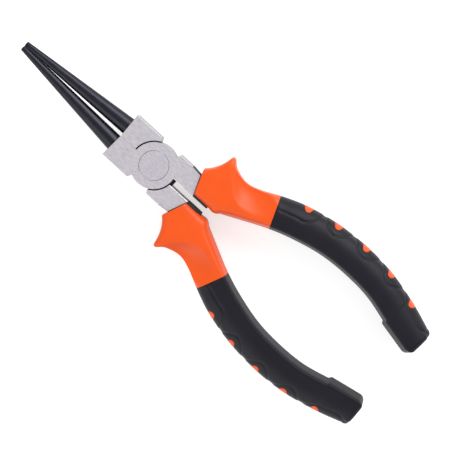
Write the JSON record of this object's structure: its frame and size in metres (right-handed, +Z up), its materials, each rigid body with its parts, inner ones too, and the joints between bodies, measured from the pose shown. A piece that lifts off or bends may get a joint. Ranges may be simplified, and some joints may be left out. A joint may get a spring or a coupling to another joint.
{
  "type": "round-nose pliers",
  "caption": "Flat-lying lap-joint pliers with slim round tapered jaws and two-colour moulded grips, for bending rings and eyes in wire and tackle.",
  "frame": {"origin": "centre of the pivot rivet's face on the underside of the joint", "axes": "+X from the pivot to the jaw tips, +Y towards the rear lever's handle, +Z up along the pivot; the pliers lie flat and closed"},
  "size_m": [0.1621, 0.055, 0.014],
  "materials": {
    "forged_steel": "ground flat with a fine lengthwise grain on the joint; the round jaws are blackened satin steel",
    "rivet_steel": "ground flush with the joint faces",
    "orange_moulding": "smooth satin moulding",
    "black_rubber": "fine matte texture"
  },
  "bodies": {
    "rear_half": {"rear_lever": "forged_steel", "rear_grip_core": "orange_moulding", "rear_grip_cover": "black_rubber", "pivot_rivet": "rivet_steel"},
    "front_half": {"front_lever": "forged_steel", "front_grip_core": "orange_moulding", "front_grip_cover": "black_rubber"}
  },
  "joints": [
    {"name": "jaw_hinge", "type": "hinge", "parent": "rear_half", "child": "front_half", "pos_m": [0, 0, 0.005], "axis": [0, 0, 1], "range_deg": [0, 48]}
  ]
}
